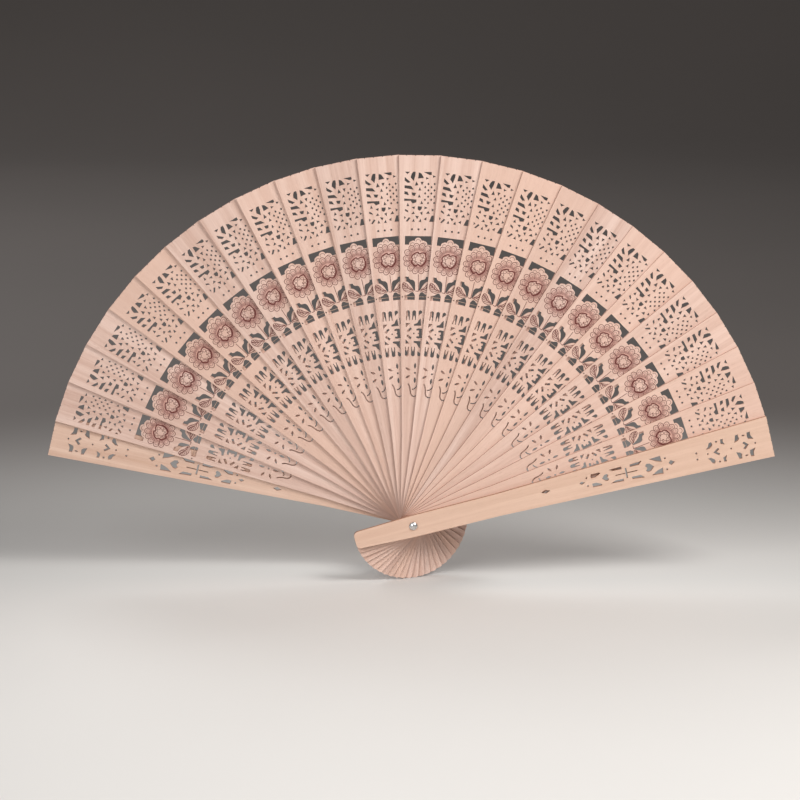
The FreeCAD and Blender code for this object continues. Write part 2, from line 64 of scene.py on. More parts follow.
# The fan stands open in the XZ plane with its rivet on the Y axis, and its front faces -Y.
# A stick's own frame has "across" to the right, "along" from the rivet to the tip and "proud"
# towards the front, all in millimetres. Everything else is in metres.

MM = 0.001
BLADE_COUNT = 23
RANDOM_SEED = 7
FRONT = Vector((0, -1, 0))


# ---------------------------------------------------------------- where the sticks are


class Stick:
    """One guard or blade: its CAD node, its body and its place in the open fan."""

    def __init__(self, node, body, angle):
        self.node = node
        self.body = body
        self.angle = math.radians(angle)
        low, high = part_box(node)
        self.front = low.y
        self.back = high.y

    def place(self, across, along, proud=0.0):
        """The point in the fan's frame, in metres, of a place on the stick, proud of its front face."""
        c = math.cos(self.angle)
        s = math.sin(self.angle)
        x = (across * s + along * c) * MM
        z = (-across * c + along * s) * MM
        return Vector((x, self.front - proud * MM, z))

    def own_frame(self, point):
        """The stick's own millimetres (across, proud, along) of a point in the fan's frame."""
        c = math.cos(self.angle)
        s = math.sin(self.angle)
        across = (point.x * s - point.z * c) / MM
        along = (point.x * c + point.z * s) / MM
        return across, (self.front - point.y) / MM, along


def all_sticks():
    """Both guards and the blades, with their angles from the record's mounts and couplings."""
    record = frame["record"]
    mount = next(m for m in record["mounts"] if m["name"] == "front_guard_face")
    x, _, z = mount["pos_m"]
    front_angle = math.degrees(math.atan2(z, x))
    fold = next(j for j in frame["joints"] if j["name"] == "fan_fold")
    spread = fold["range_deg"][1]
    sticks = [
        Stick("front_guard", "front", front_angle),
        Stick("rear_guard", "rear_stick", front_angle + spread),
    ]
    ratios = {c["joint"]: c["ratio"] for c in record["behaviour"]["couplings"]}
    for number in range(1, BLADE_COUNT + 1):
        ratio = ratios[f"blade_{number:02d}_turn"]
        body = f"stick_{number:02d}"
        sticks.append(Stick(f"blade_{number:02d}", body, front_angle + ratio * spread))
    return sticks


# ---------------------------------------------------------------- material helpers


class Graph:
    """A material's nodes, with short names for the ones used here."""

    def __init__(self, name):
        self.material = bpy.data.materials.new(name)
        self.material.use_nodes = True
        self.tree = self.material.node_tree
        self.shader = self.tree.nodes["Principled BSDF"]

    def put(self, value, socket):
        """Links a socket, or sets a plain value."""
        if isinstance(value, bpy.types.NodeSocket):
            self.tree.links.new(value, socket)
        else:
            socket.default_value = value

    def node(self, kind, inputs=(), **settings):
        node = self.tree.nodes.new(kind)
        for key, value in settings.items():
            setattr(node, key, value)
        for key, value in dict(inputs).items():
            self.put(value, node.inputs[key])
        return node

    def math(self, operation, a, b=0.0, clamp=False):
        node = self.node("ShaderNodeMath", {0: a, 1: b}, operation=operation, use_clamp=clamp)
        return node.outputs[0]

    def length(self, a, b):
        """The long side of the right-angled triangle with the short sides a and b."""
        squares = self.math("ADD", self.math("MULTIPLY", a, a), self.math("MULTIPLY", b, b))
        return self.math("SQRT", squares)

    def attribute(self, name):
        return self.node("ShaderNodeAttribute", attribute_name=name).outputs["Vector"]

    def parts(self, vector):
        return self.node("ShaderNodeSeparateXYZ", {0: vector}).outputs

    def stretched(self, vector, scale, shift=None):
        """The coordinates times a scale of their own on each axis."""
        scaled = self.node("ShaderNodeVectorMath", {0: vector, 1: scale}, operation="MULTIPLY")
        if shift is None:
            return scaled.outputs[0]
        moved = self.node("ShaderNodeVectorMath", {0: scaled.outputs[0], 1: shift}, operation="ADD")
        return moved.outputs[0]

    def noise(self, vector, detail=3.0, roughness=0.5, distortion=0.0):
        inputs = {
            "Vector": vector,
            "Scale": 1.0,
            "Detail": detail,
            "Roughness": roughness,
            "Distortion": distortion,
        }
        return self.node("ShaderNodeTexNoise", inputs).outputs["Fac"]

    def ramp(self, value, low, high, bottom=0.0, top=1.0):
        """value from low..high to bottom..top, clamped, with a smooth start and end."""
        inputs = {"Value": value, 1: low, 2: high, 3: bottom, 4: top}
        node = self.node("ShaderNodeMapRange", inputs, interpolation_type="SMOOTHSTEP")
        return node.outputs[0]

    def mix(self, factor, a, b, blend="MIX"):
        node = self.node("ShaderNodeMix", data_type="RGBA", blend_type=blend)
        for socket, value in ((node.inputs[0], factor), (node.inputs[6], a), (node.inputs[7], b)):
            self.put(value, socket)
        return node.outputs[2]

    def bump(self, height, strength, distance):
        inputs = {"Height": height, "Strength": strength, "Distance": distance}
        return self.node("ShaderNodeBump", inputs).outputs["Normal"]


def linear(red, green, blue):
    """A colour given in 0-255 display values, as the linear colour that nodes take."""

    def channel(value):
        v = value / 255
        return v / 12.92 if v <= 0.04045 else ((v + 0.055) / 1.055) ** 2.4

    return (channel(red), channel(green), channel(blue), 1.0)


# ---------------------------------------------------------------- wood

# The flower's middle in its blade's millimetres, and where its first petal points, in degrees.
FLOWER_CENTRE = (0.46, 127.4)
PETAL_COUNT = 14
FIRST_PETAL = 76

# How far the flower reaches between two petals and how much further at a petal's middle, and the
# reaches between which the blush fades out towards the pale heart, in mm.
PETAL_VALLEY = 6.1
PETAL_RISE = 1.3
BLUSH_START = (2.7, 3.4)

# How fast each part of the grain changes per millimetre across, proud and along.
BAND_SCALE = (0.30, 0.30, 0.010)
STREAK_SCALE = (1.5, 1.5, 0.022)
FIBRE_SCALE = (7.0, 7.0, 0.16)
PORE_SCALE = (4.5, 4.5, 0.35)

PORE_DARK = (0.66, 0.56, 0.50, 1.0)
# How far the walls of the cut-outs turn to a brown that is partly laser scorch and partly painted shade in the
# openings.
WALL_SCORCH_AND_SHADE = 0.8
GRAIN_DEPTH = 0.06 * MM
EDGE_ROUND = 0.05 * MM
EDGE_ANGLE = 40
WELD_REACH = 0.002 * MM


def stick_attributes(stick, luck):
    """Gives a stick's mesh its own coordinates, and the chance values that set it apart."""
    mesh = frame["nodes"][stick.node].data
    places = []
    chances = []
    for vertex in mesh.vertices:
        places.extend(stick.own_frame(vertex.co))
        chances.extend(luck)
    mesh.attributes.new("stick_place", "FLOAT_VECTOR", "POINT").data.foreach_set("vector", places)
    mesh.attributes.new("stick_luck", "FLOAT_VECTOR", "POINT").data.foreach_set("vector", chances)


def wood_colour(graph, pale, deep, warm):
    """Growth bands, streaks and short pores along the stick, in its own tone."""
    place = graph.attribute("stick_place")
    luck = graph.attribute("stick_luck")
    seed, tone, hue = graph.parts(luck)
    shift = graph.node("ShaderNodeCombineXYZ", {0: seed, 1: seed, 2: seed}).outputs[0]
    bands = graph.noise(graph.stretched(place, BAND_SCALE, shift), 2.0, 0.5, 0.4)
    streaks = graph.noise(graph.stretched(place, STREAK_SCALE, shift), 4.0, 0.6, 0.3)
    fibres = graph.noise(graph.stretched(place, FIBRE_SCALE, shift), 3.0, 0.6)
    pores = graph.noise(graph.stretched(place, PORE_SCALE, shift), 1.0, 0.4)
    colour = graph.mix(graph.ramp(bands, 0.30, 0.72), pale, deep)
    streaked = graph.mix(0.55, colour, deep, "MULTIPLY")
    colour = graph.mix(graph.ramp(streaks, 0.42, 0.78, 0.0, 0.45), colour, streaked)
    colour = graph.mix(graph.ramp(hue, 0.0, 1.0, 0.0, 0.8), colour, warm)
    dark = graph.mix(1.0, colour, PORE_DARK, "MULTIPLY")
    colour = graph.mix(graph.ramp(fibres, 0.45, 0.80, 0.0, 0.28), colour, dark)
    colour = graph.mix(graph.ramp(pores, 0.66, 0.76, 0.0, 0.35), colour, dark)
    bright = graph.node("ShaderNodeCombineXYZ", {0: tone, 1: tone, 2: tone}).outputs[0]
    colour = graph.mix(1.0, colour, bright, "MULTIPLY")
    fine = graph.math("MULTIPLY", fibres, 0.6)
    broad = graph.math("MULTIPLY", streaks, 0.4)
    pits = graph.ramp(pores, 0.66, 0.76, 0.0, 0.5)
    height = graph.math("SUBTRACT", graph.math("ADD", fine, broad), pits)
    return colour, height, fibres, place


def cut_walls(graph, colour, scorch_and_shade):
    """The walls of the cut-outs and the sticks' edges are browner than the faces: partly the scorch of the laser
    cut, partly painted shade that darkens the openings.
    """
    normal = graph.node("ShaderNodeNewGeometry").outputs["Normal"]
    facing = graph.math("ABSOLUTE", graph.parts(normal)[1])
    wall = graph.ramp(facing, 0.35, 0.75, 1.0, 0.0)
    return graph.mix(graph.math("MULTIPLY", wall, WALL_SCORCH_AND_SHADE), colour, scorch_and_shade)


def finish_wood(graph, colour, height, fibres):
    """Joins the colour, the gloss and the raised grain to the shader."""
    graph.put(colour, graph.shader.inputs["Base Color"])
    graph.put(graph.ramp(fibres, 0.3, 0.8, 0.50, 0.66), graph.shader.inputs["Roughness"])
    graph.put(graph.bump(height, 0.35, GRAIN_DEPTH), graph.shader.inputs["Normal"])
    graph.shader.inputs["Specular IOR Level"].default_value = 0.35
    return graph.material


def guard_wood():
    graph = Graph("guard_wood_grain")
    pale = linear(232, 202, 184)
    deep = linear(212, 177, 157)
    warm = linear(223, 188, 165)
    colour, height, fibres, _ = wood_colour(graph, pale, deep, warm)
    # Walls of the cut-outs: scorch brown that also serves as painted shade.
    colour = cut_walls(graph, colour, linear(150, 102, 78))
    return finish_wood(graph, colour, height, fibres)


def flower_tint(graph, colour, place):
    """The printed blush between the flower's ring and the tips of its petals, on the front face only."""
    across, proud, along = graph.parts(place)
    x = graph.math("SUBTRACT", across, FLOWER_CENTRE[0])
    z = graph.math("SUBTRACT", along, FLOWER_CENTRE[1])
    reach = graph.length(x, z)
    turn = graph.math("SUBTRACT", graph.math("ARCTAN2", z, x), math.radians(FIRST_PETAL))
    half_turns = graph.math("MULTIPLY", turn, PETAL_COUNT / 2)
    petal = graph.math("ABSOLUTE", graph.math("COSINE", half_turns))
    edge = graph.math("ADD", PETAL_VALLEY, graph.math("MULTIPLY", petal, PETAL_RISE))
    inside = graph.math("DIVIDE", reach, edge)
    blush = graph.ramp(inside, 0.60, 0.92, 0.62, 0.0)
    wash = graph.ramp(inside, 0.90, 1.02, 0.14, 0.0)
    heart = graph.ramp(reach, *BLUSH_START, 0.12, 1.0)
    streak = graph.noise(graph.stretched(place, (1.9, 1.9, 1.9)), 4.0, 0.7)
    grainy = graph.ramp(streak, 0.25, 0.7, 0.5, 1.0)
    crease = graph.ramp(petal, 0.0, 0.5, 1.0, 0.72)
    face = graph.ramp(proud, -0.10, -0.02, 0.0, 1.0)
    amount = graph.math("MULTIPLY", graph.math("MULTIPLY", blush, crease), grainy)
    amount = graph.math("MULTIPLY", graph.math("ADD", amount, wash), graph.math("MULTIPLY", heart, face))
    return graph.mix(amount, colour, linear(184, 122, 112))


def blade_wood():
    graph = Graph("blade_wood_grain")
    pale = linear(233, 205, 192)
    deep = linear(213, 180, 165)
    warm = linear(223, 188, 170)
    colour, height, fibres, place = wood_colour(graph, pale, deep, warm)
    # Walls of the cut-outs: scorch brown that also serves as painted shade.
    colour = cut_walls(graph, colour, linear(148, 98, 78))
    colour = flower_tint(graph, colour, place)
    return finish_wood(graph, colour, height, fibres)


def round_edges(node):
    """Takes the knife edge off a stick: its faces are joined first, then its edges are rounded."""
    weld = node.modifiers.new("weld", "WELD")
    weld.merge_threshold = WELD_REACH
    bevel = node.modifiers.new("soft_edges", "BEVEL")
    bevel.width = EDGE_ROUND
    bevel.segments = 2
    bevel.limit_method = "ANGLE"
    bevel.angle_limit = math.radians(EDGE_ANGLE)
    bevel.use_clamp_overlap = True
    bevel.harden_normals = True


def dress_sticks(sticks):
    """Gives every guard and blade its wood, its own tone of it and its soft edges."""
    chance = random.Random(RANDOM_SEED)
    woods = {True: guard_wood(), False: blade_wood()}
    for stick in sticks:
        is_guard = stick.node.endswith("guard")
        tone = chance.uniform(0.93, 1.02)
        stick_attributes(stick, (chance.uniform(0, 60), tone, chance.random()))
        node = frame["nodes"][stick.node]
        node.material_slots[0].material = woods[is_guard]
        round_edges(node)


# ---------------------------------------------------------------- the printed flower

# A printed line is a ribbon whose top is INK_PROUD mm over the wood and whose underside is INK_SUNK mm
# in it. Each line lies INK_STEP mm higher than the one before it, so that crossing lines don't share a
# face. LINE is the usual width in mm.
INK_PROUD = 0.02
INK_STEP = 0.0004
INK_SUNK = 0.01
LINE = 0.3

HEART = (0.5, 127.0)
STAMEN_COUNT = 8
STAMEN_REACH = 2.25
STAMEN_RADIUS = 0.72
STAMEN_TURNS = [math.tau * k / 10 for k in range(11)]

# A probe looks for wood under a line: it starts PROBE_HEIGHT mm before the front face, is
# PROBE_LENGTH mm long and has to hit within PROBE_SLACK mm of the face.
PROBE_HEIGHT = 1.0
PROBE_LENGTH = 1.2
PROBE_SLACK = 0.05


def curve(*corners, steps=5):
    """A smooth line through the corners (Catmull-Rom)."""
    before, after = corners[0], corners[-1]
    if before == after:
        before, after = corners[-2], corners[1]
    ends = [before, *corners, after]
    points = []
    for a, b, c, d in zip(ends, ends[1:], ends[2:], ends[3:]):
        for i in range(steps):
            t = i / steps
            point = []
            for p, q, r, s in zip(a, b, c, d):
                slope = (r - p) * t
                bend = (2 * p - 5 * q + 4 * r - s) * t * t
                last = (3 * q - p - 3 * r + s) * t * t * t
                point.append(q + 0.5 * (slope + bend + last))
            points.append(tuple(point))
    points.append(corners[-1])
    return points


def on_petal(turn, reach, side):
    """A place on the petal whose middle points to turn: reach out from the centre and side across."""
    a = math.radians(turn)
    across = FLOWER_CENTRE[0] + reach * math.cos(a) - side * math.sin(a)
    along = FLOWER_CENTRE[1] + reach * math.sin(a) + side * math.cos(a)
    return across, along


def petal_line(turn, *places):
    """A smooth line through places (reach, side) on one petal."""
    return curve(*(on_petal(turn, reach, side) for reach, side in places), steps=3)


def petal_lines():
    """The scalloped petals with the lines between them, and the short strokes at their feet."""
    chance = random.Random(RANDOM_SEED)
    strokes = []
    for i in range(PETAL_COUNT):
        turn = FIRST_PETAL + i * 360 / PETAL_COUNT + chance.uniform(-1.5, 1.5)
        tip = 7.5 + chance.uniform(-0.15, 0.15)
        left = [(5.2, 1.15), (6.1, 1.32), (tip - 0.75, 1.12), (tip - 0.2, 0.62)]
        right = [(reach, -side) for reach, side in reversed(left)]
        strokes.append((petal_line(turn, *left, (tip, 0.0), *right), LINE, 0.45))
        strokes.append((petal_line(turn, (5.3, 1.2), (4.6, 1.05), (3.9, 0.9)), LINE, 0.55))
        lobe = petal_line(turn, (5.6, 0.7), (6.2, 0.55), (6.45, 0.0), (6.2, -0.55), (5.6, -0.7))
        strokes.append((lobe, LINE * 0.55, 0.2))
        for side in (-0.55, 0.0, 0.5):
            top = 5.5 + chance.uniform(-0.5, 0.5)
            hatch = petal_line(turn, (3.75, side * 0.8), (4.6, side), (top, side * 1.3))
            strokes.append((hatch, LINE * 0.7, 0.5))
    return strokes


def heart_lines():
    """The dark wavy ring, whose width varies, the stamens inside it and the marks at the centre."""
    ring = curve(
        (0.55, 129.55, 0.50),
        (1.9, 130.05, 0.55),
        (3.4, 129.85, 0.55),
        (3.7, 128.65, 0.50),
        (3.95, 127.05, 0.60),
        (3.6, 125.85, 0.80),
        (2.85, 124.65, 0.75),
        (1.75, 123.85, 0.70),
        (0.8, 124.0, 0.55),
        (0.2, 124.6, 0.55),
        (-1.0, 123.85, 0.75),
        (-2.1, 124.55, 0.70),
        (-2.85, 125.85, 0.75),
        (-2.55, 127.05, 0.50),
        (-2.95, 128.05, 0.55),
        (-2.25, 129.25, 0.60),
        (-1.1, 129.95, 0.60),
        (0.1, 130.35, 0.55),
        (0.55, 129.55, 0.50),
    )
    strokes = [(ring, None, 1.0)]
    for i in range(STAMEN_COUNT):
        turn = math.tau * i / STAMEN_COUNT
        across = HEART[0] + STAMEN_REACH * math.cos(turn)
        along = HEART[1] + STAMEN_REACH * math.sin(turn)
        stamen = []
        for a in STAMEN_TURNS:
            stamen.append((across + STAMEN_RADIUS * math.cos(a), along + STAMEN_RADIUS * math.sin(a)))
        strokes.append((stamen, LINE * 0.7, 0.3))
    marks = ((1.45, 126.45, 0.55, 0.9), (2.5, 127.85, 0.42, 0.45), (-1.0, 125.65, 0.5, 0.4))
    for across, along, width, ink in marks:
        spot = [(across, along - 0.42), (across, along), (across + 0.05, along + 0.42)]
        strokes.append((spot, width, ink))
    return strokes


def leaf_lines(side):
    """A leaf beside the stem: its rim, midrib and side veins. side is -1 for the left leaf."""
    rim = curve(
        (-0.95, 111.95),
        (-2.5, 111.75),
        (-3.9, 111.3),
        (-5.3, 111.55),
        (-6.5, 112.6),
        (-7.05, 114.0),
        (-6.8, 115.4),
        (-6.1, 115.75),
        (-4.8, 115.0),
        (-3.7, 113.7),
        (-2.3, 112.7),
        (-0.95, 111.95),
    )
    midrib = curve((-1.3, 112.05), (-3.0, 112.6), (-4.6, 113.4), (-5.8, 114.3), (-6.8, 115.4))
    strokes = [(rim, LINE, 0.5), (midrib, LINE * 1.2, 0.6)]
    veins = (
        ((-2.9, 112.5), (-4.2, 112.2), (-5.7, 112.2)),
        ((-4.0, 113.1), (-5.3, 112.9), (-6.7, 113.2)),
        ((-5.0, 113.7), (-5.9, 113.7), (-6.9, 114.1)),
        ((-5.8, 114.4), (-6.3, 114.5), (-6.9, 114.9)),
        ((-4.3, 113.4), (-4.7, 114.0), (-4.9, 114.8)),
        ((-5.4, 114.1), (-5.6, 114.7), (-5.7, 115.4)),
    )
    for vein in veins:
        strokes.append((curve(*vein), LINE, 0.45))
    return [([(-side * x, z) for x, z in points], width, ink) for points, width, ink in strokes]


def flower_strokes():
    """Every printed line of one blade: (points, width in mm, ink from pale 0 to dark 1)."""
    stem = curve((0.46, 119.9), (0.52, 118.0), (0.6, 115.5), (0.65, 112.2), (0.3, 111.9))
    bow = curve((-1.2, 112.0), (-0.4, 111.75), (0.5, 111.7), (1.2, 112.0))
    strokes = [(stem, LINE, 0.5), (bow, LINE, 0.6)]
    crown = (
        ((-1.1, 135.2), (-0.9, 136.1), (0.0, 136.5), (0.9, 136.1), (1.1, 135.2)),
        ((-3.6, 133.9), (-3.4, 134.6), (-2.6, 134.9), (-1.8, 134.6)),
        ((3.6, 133.9), (3.4, 134.6), (2.6, 134.9), (1.8, 134.6)),
    )
    for lobe in crown:
        strokes.append((curve(*lobe), LINE * 0.8, 0.1))
    return strokes + petal_lines() + heart_lines() + leaf_lines(-1) + leaf_lines(1)


def ribbon_sides(points, width):
    """The left and right points of a ribbon, narrower at its ends.

    A point may carry the ribbon's width there as a third value.
    """
    left = []
    right = []
    last = len(points) - 1
    closed = points[0] == points[-1]
    for i, (x, z, *own_width) in enumerate(points):
        x0, z0 = points[max(i - 1, 0)][:2]
        x1, z1 = points[min(i + 1, last)][:2]
        run = math.hypot(x1 - x0, z1 - z0)
        taper = 1.0 if closed or 0 < i < last else 0.5
        half = (own_width[0] if own_width else width) / 2 * taper
        nx = -(z1 - z0) / run * half
        nz = (x1 - x0) / run * half
        left.append((x + nx, z + nz))
        right.append((x - nx, z - nz))
    return left, right


def over_wood(stick, tree, corners):
    """True if the stick's front face is under every corner."""
    for across, along in corners:
        start = stick.place(across, along, PROBE_HEIGHT)
        hit, _, _, distance = tree.ray_cast(start, -FRONT, PROBE_LENGTH * MM)
        if hit is None or abs(distance - PROBE_HEIGHT * MM) > PROBE_SLACK * MM:
            return False
    return True


def add_run(mesh, ink_layer, stick, rows, ink, proud):
    """One unbroken run of ribbon through its rows of a left and a right point."""
    if len(rows) < 2:
        return
    rings = []
    for left, right in rows:
        heights = ((left, proud), (right, proud), (right, -INK_SUNK), (left, -INK_SUNK))
        ring = [mesh.verts.new(stick.place(*point, height)) for point, height in heights]
        for vertex in ring:
            vertex[ink_layer] = ink
        rings.append(ring)
    for a, b in zip(rings, rings[1:]):
        for k in range(4):
            n = (k + 1) % 4
            mesh.faces.new((a[k], a[n], b[n], b[k]))
    mesh.faces.new(rings[0][::-1])
    mesh.faces.new(rings[-1])


def add_ribbon(mesh, ink_layer, stick, tree, stroke, proud):
    """Adds one printed line as a thin raised ribbon, left out where the wood is cut away."""
    points, width, ink = stroke
    rows = list(zip(*ribbon_sides(points, width)))
    run = [rows[0]]
    for row, after in zip(rows, rows[1:]):
        if not over_wood(stick, tree, (*row, *after)):
            add_run(mesh, ink_layer, stick, run, ink, proud)
            run = []
        run.append(after)
    add_run(mesh, ink_layer, stick, run, ink, proud)


def ink_material():
    """Print ink: grey-brown where it is thin, dark red-brown where it is thick."""
    graph = Graph("print_ink_brown")
    ink = graph.node("ShaderNodeAttribute", attribute_name="ink").outputs["Fac"]
    place = graph.node("ShaderNodeTexCoord").outputs["Object"]
    speckle = graph.noise(graph.stretched(place, (2600.0, 2600.0, 2600.0)), 3.0, 0.65)
    colour = graph.mix(ink, linear(128, 90, 84), linear(98, 36, 31))
    worn = graph.mix(0.4, colour, linear(196, 158, 142))
    colour = graph.mix(graph.ramp(speckle, 0.50, 0.78, 0.0, 0.7), colour, worn)
    graph.put(colour, graph.shader.inputs["Base Color"])
    graph.put(graph.ramp(speckle, 0.3, 0.7, 0.55, 0.75), graph.shader.inputs["Roughness"])
    graph.put(graph.bump(speckle, 0.2, 0.01 * MM), graph.shader.inputs["Normal"])
    return graph.material


def new_piece(name, mesh, material, body):
    """A finished bmesh as an object that rides on a body."""
    data = bpy.data.meshes.new(name)
    mesh.to_mesh(data)
    mesh.free()
    data.materials.append(material)
    piece = bpy.data.objects.new(name, data)
    bpy.context.scene.collection.objects.link(piece)
    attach(piece, body)
    return piece


def print_flowers(sticks):
    """Prints the same flower and leaves on every blade."""
    material = ink_material()
    strokes = flower_strokes()
    for stick in sticks:
        if not stick.node.startswith("blade"):
            continue
        wood = bmesh.new()
        wood.from_mesh(frame["nodes"][stick.node].data)
        tree = BVHTree.FromBMesh(wood)
        wood.free()
        mesh = bmesh.new()
        ink_layer = mesh.verts.layers.float.new("ink")
        for number, stroke in enumerate(strokes):
            add_ribbon(mesh, ink_layer, stick, tree, stroke, INK_PROUD + number * INK_STEP)
        bmesh.ops.recalc_face_normals(mesh, faces=mesh.faces)
        new_piece(stick.node.replace("blade", "print"), mesh, material, stick.body)


# ---------------------------------------------------------------- thread

# The thread runs THREAD_DEPTH mm in from the blade's back face, in its groove, and each of its two
# strands goes once round in THREAD_TWIST mm.
THREAD_ALONG = 108.9
THREAD_START = -6.9
THREAD_LENGTH = 13.3
THREAD_RADIUS = 0.15
THREAD_DEPTH = 0.18
THREAD_TWIST = 0.9
STRAND_RADIUS = THREAD_RADIUS / 2
STRAND_SIDES = 6
STEPS_A_TWIST = 10


def strand_points(phase):
    """One strand's middle line as (across, lift, side); lift and side are from the thread's middle."""
    points = []
    steps = int(THREAD_LENGTH / THREAD_TWIST * STEPS_A_TWIST)
    for i in range(steps + 1):
        across = THREAD_START + THREAD_LENGTH * i / steps
        turn = math.tau * (across - THREAD_START) / THREAD_TWIST + phase
        points.append((across, STRAND_RADIUS * math.cos(turn), STRAND_RADIUS * math.sin(turn)))
    return points


def thread_material():
    """Matt undyed cotton with a fine fuzz."""
    graph = Graph("thread_twist")
    place = graph.node("ShaderNodeTexCoord").outputs["Object"]
    fuzz = graph.noise(graph.stretched(place, (9000.0, 9000.0, 9000.0)), 3.0, 0.6)
    colour = graph.mix(graph.ramp(fuzz, 0.3, 0.7), linear(214, 186, 168), linear(176, 142, 124))
    graph.put(colour, graph.shader.inputs["Base Color"])
    graph.put(graph.ramp(fuzz, 0.3, 0.7, 0.7, 0.9), graph.shader.inputs["Roughness"])
    graph.put(graph.bump(fuzz, 0.5, 0.02 * MM), graph.shader.inputs["Normal"])
    return graph.material


def add_strand(mesh, stick, phase):
    """One strand as a closed tube."""
    rings = []
    middle = (stick.back - stick.front) / MM - THREAD_DEPTH
    for across, lift, side in strand_points(phase):
        ring = []
        for k in range(STRAND_SIDES):
            a = math.tau * k / STRAND_SIDES
            along = THREAD_ALONG + side + STRAND_RADIUS * math.cos(a)
            proud = -middle + lift + STRAND_RADIUS * math.sin(a)
            ring.append(mesh.verts.new(stick.place(across, along, proud)))
        rings.append(ring)
    for a, b in zip(rings, rings[1:]):
        for k in range(STRAND_SIDES):
            n = (k + 1) % STRAND_SIDES
            mesh.faces.new((a[k], a[n], b[n], b[k]))
    mesh.faces.new(rings[0][::-1])
    mesh.faces.new(rings[-1])


def twist_threads(sticks):
    """Two twisted strands along the straight run of each CAD thread span, without its turn
    through the hole."""
    material = thread_material()
    for stick in sticks:
        if not stick.node.startswith("blade"):
            continue
        mesh = bmesh.new()
        for phase in (0.0, math.pi):
            add_strand(mesh, stick, phase)
        bmesh.ops.recalc_face_normals(mesh, faces=mesh.faces)
        for face in mesh.faces:
            face.smooth = True
        node = stick.node.replace("blade", "thread")
        piece = new_piece(f"{node}_twist", mesh, material, stick.body)
        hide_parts(node)


# ---------------------------------------------------------------- rivet

LATHE_STEPS = 48
DOME_STEPS = 12
ON_AXIS = 1e-7
SHANK_RADIUS = 1.45 * MM
WASHER_BORE = 1.5 * MM
WASHER_SOFT = 0.06 * MM
SEAT_DEPTH = 0.1 * MM


def turned(name, profile, material, body):
    """A turned piece round the rivet's axis; the profile is (radius, y) in metres."""
    mesh = bmesh.new()
    rings = []
    for radius, y in profile:
        if radius < ON_AXIS:
            rings.append([mesh.verts.new((0, y, 0))])
            continue
        ring = []
        for k in range(LATHE_STEPS):
            a = math.tau * k / LATHE_STEPS
            ring.append(mesh.verts.new((radius * math.cos(a), y, radius * math.sin(a))))
        rings.append(ring)
    for a, b in zip(rings, rings[1:]):
        for k in range(LATHE_STEPS):
            n = (k + 1) % LATHE_STEPS
            corners = [a[k % len(a)], a[n % len(a)], b[n % len(b)], b[k % len(b)]]
            unique = list(dict.fromkeys(corners))
            mesh.faces.new(unique)
    bmesh.ops.recalc_face_normals(mesh, faces=mesh.faces)
    for face in mesh.faces:
        face.smooth = True
    return new_piece(name, mesh, material, body)


def dome_profile(radius, base, rise, way):
    """From the crown to the base of a low dome with a small rounded rim."""
    ball = (radius * radius + rise * rise) / (2 * rise)
    top_turn = math.asin(min(1.0, radius / ball))
    points = []
    for i in range(DOME_STEPS + 1):
        turn = top_turn * i / DOME_STEPS
        points.append((ball * math.sin(turn), base + way * (rise - ball + ball * math.cos(turn))))
    rim_radius, rim_y = points[-1]
    points[-1] = (rim_radius - 0.02 * MM, rim_y + way * 0.04 * MM)
    points.append((rim_radius, rim_y + way * 0.01 * MM))
    points.append((rim_radius - 0.05 * MM, rim_y))
    return points


def metal_material():
    """Bright nickel plate with faint turning marks and a few dull spots."""
    graph = Graph("rivet_nickel")
    place = graph.node("ShaderNodeTexCoord").outputs["Object"]
    x, y, z = graph.parts(graph.stretched(place, (1000.0, 1000.0, 1000.0)))
    spread = graph.math("MULTIPLY", graph.length(x, z), 9.0)
    rings = graph.node("ShaderNodeCombineXYZ", {0: spread, 1: y}).outputs[0]
    marks = graph.noise(rings, 3.0, 0.6)
    dull = graph.noise(graph.stretched(place, (900.0, 900.0, 900.0)), 4.0, 0.6)
    colour = graph.mix(graph.ramp(dull, 0.4, 0.7), linear(226, 226, 226), linear(196, 193, 189))
    graph.put(colour, graph.shader.inputs["Base Color"])
    graph.put(graph.ramp(dull, 0.3, 0.7, 0.18, 0.34), graph.shader.inputs["Roughness"])
    graph.put(graph.bump(marks, 0.12, 0.02 * MM), graph.shader.inputs["Normal"])
    graph.shader.inputs["Metallic"].default_value = 1.0
    return graph.material


def build_rivet():
    """The pin with its head, the washer and the rear cap, turned where their CAD nodes lie."""
    metal = metal_material()
    pin_low, pin_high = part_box("rivet_pin")
    washer_low, washer_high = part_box("rear_washer")
    cap_low, cap_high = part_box("rear_cap")
    head_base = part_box("front_guard")[0].y + SEAT_DEPTH
    profile = dome_profile(pin_high.x, head_base, head_base - pin_low.y, -1)
    profile += [
        (SHANK_RADIUS, head_base),
        (SHANK_RADIUS, pin_high.y - 0.1 * MM),
        (SHANK_RADIUS - 0.1 * MM, pin_high.y),
        (0.0, pin_high.y),
    ]
    pin = turned("rivet_pin_turned", profile, metal, "front")
    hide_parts("rivet_pin")
    outer = washer_high.x
    washer_profile = [
        (WASHER_BORE, washer_low.y),
        (outer - WASHER_SOFT, washer_low.y),
        (outer, washer_low.y + WASHER_SOFT),
        (outer, washer_high.y - WASHER_SOFT),
        (outer - WASHER_SOFT, washer_high.y),
        (WASHER_BORE + WASHER_SOFT, washer_high.y),
        (WASHER_BORE, washer_high.y - WASHER_SOFT),
        (WASHER_BORE, washer_low.y),
    ]
    washer = turned("rear_washer_turned", washer_profile, metal, "front")
    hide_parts("rear_washer")
    cap_profile = dome_profile(cap_high.x, cap_low.y, cap_high.y - cap_low.y, 1)
    cap_profile.append((0.0, cap_low.y))
    cap = turned("rear_cap_turned", cap_profile, metal, "front")
    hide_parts("rear_cap")


# ---------------------------------------------------------------- floor, light and camera

# The photo's view: a little from the left of straight on, and from above. The distance is assumed, and
# the rest was fitted to the photo for it.
VIEW_AZIMUTH = -4.3
VIEW_ELEVATION = 12.0
VIEW_DISTANCE = 1.4
VIEW_LENS = 131.9
VIEW_TARGET = (-0.0054, 0.0, 0.0590)

